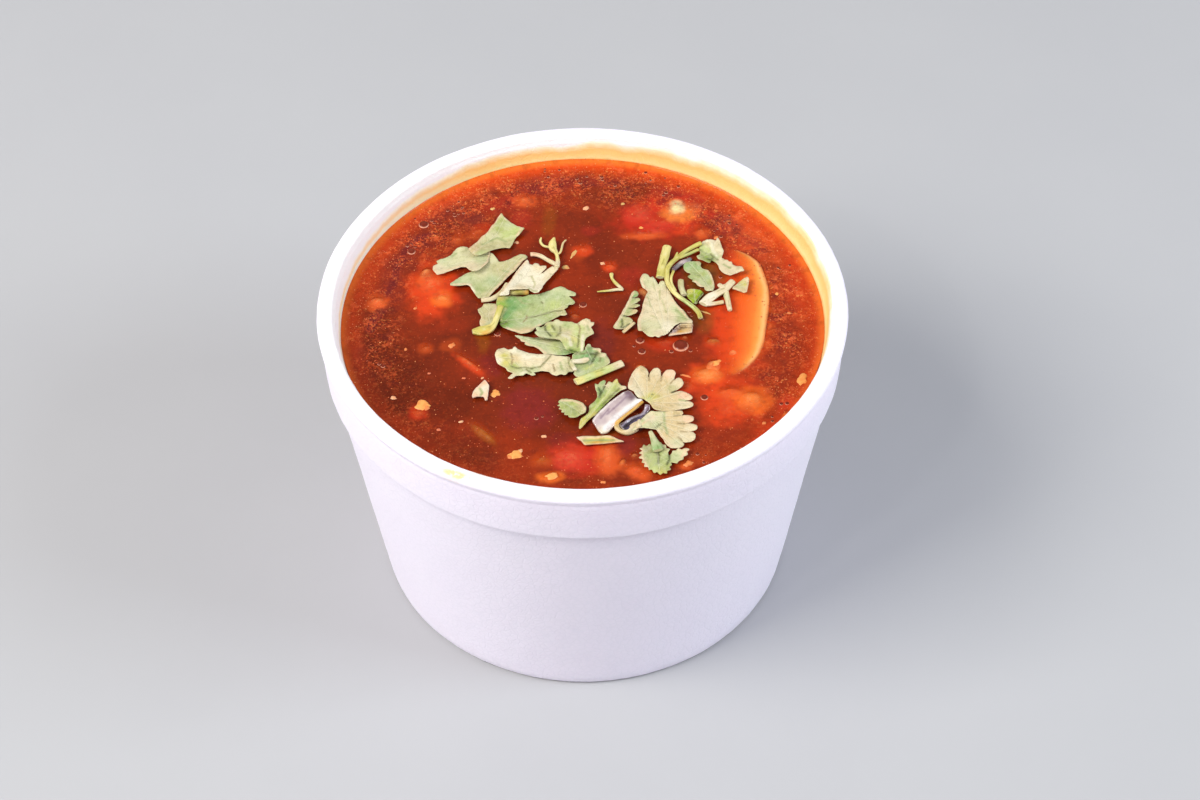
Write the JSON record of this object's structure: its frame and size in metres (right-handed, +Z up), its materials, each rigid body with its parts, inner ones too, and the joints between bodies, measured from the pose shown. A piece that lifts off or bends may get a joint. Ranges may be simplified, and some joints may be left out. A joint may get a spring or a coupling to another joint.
{
  "type": "bowl of hot and sour soup",
  "caption": "Round foam takeaway tub with a flared rim band, filled with red-brown hot and sour soup, with chopped coriander and cut stalks floating on it.",
  "frame": {"origin": "centre of the flat base of the tub", "axes": "+Z up through the tub's axis, +X to the right and +Y away from the viewer as the soup is seen from the front"},
  "size_m": [0.117, 0.117, 0.0763],
  "materials": {
    "foam": "matte expanded foam with a fine bead texture",
    "soup": "wet, glossy, translucent red-brown broth with oil and specks",
    "leaf_green": "damp green leaf with fine veins",
    "leaf_sage": "damp grey-green leaf with fine veins",
    "leaf_pale": "damp cream-green leaf, the pale side up",
    "leaf_beige": "damp beige-sage leaf, matte",
    "stalk": "wet yellow-cream stalk with fine ribs",
    "clear_shred": "wet, glossy, milky shred",
    "dark_shred": "wet, glossy, dark fungus shred",
    "scrap": "soft white scrap of egg"
  },
  "bodies": {
    "root": {"foam_tub": "foam", "soup": "soup", "coriander_arrow_leaf": "leaf_sage", "coriander_lobed_leaf": "leaf_pale", "coriander_square_leaf": "leaf_sage", "coriander_small_left_leaf": "leaf_pale", "coriander_large_leaf": "leaf_green", "coriander_cream_stem": "stalk", "coriander_pale_underside": "leaf_pale", "coriander_yellow_stem": "stalk", "coriander_forked_sprig": "stalk", "coriander_flat_leaf": "leaf_green", "coriander_frilly_leaf": "leaf_pale", "coriander_rolled_leaf": "leaf_pale", "coriander_dark_leaf": "leaf_green", "coriander_white_curl": "scrap", "stalk_centre": "stalk", "shred_clear_slice": "clear_shred", "coriander_pale_fan": "leaf_pale", "coriander_fringed_leaf": "leaf_sage", "stalk_short_thin": "stalk", "stalk_straight": "stalk", "shred_grey_ribbon": "clear_shred", "coriander_grey_leaf": "leaf_green", "coriander_bright_leaf": "leaf_green", "coriander_curled_leaf": "leaf_pale", "stalk_inner": "stalk", "stalk_looped": "stalk", "coriander_small_right_leaf": "leaf_green", "stalk_pale_forked": "stalk", "twig_forked": "scrap", "coriander_narrow_leaf": "leaf_green", "coriander_oval_leaf": "leaf_sage", "shred_clear_slab": "clear_shred", "shred_dark_curl": "dark_shred", "coriander_beige_fan": "leaf_beige", "coriander_lower_fan": "leaf_beige", "stalk_small_loop": "stalk", "coriander_small_three_lobe_leaf": "leaf_green", "stalk_small_leaf": "leaf_green", "coriander_cut_strip": "stalk", "scrap_white": "scrap"}
  },
  "joints": []
}
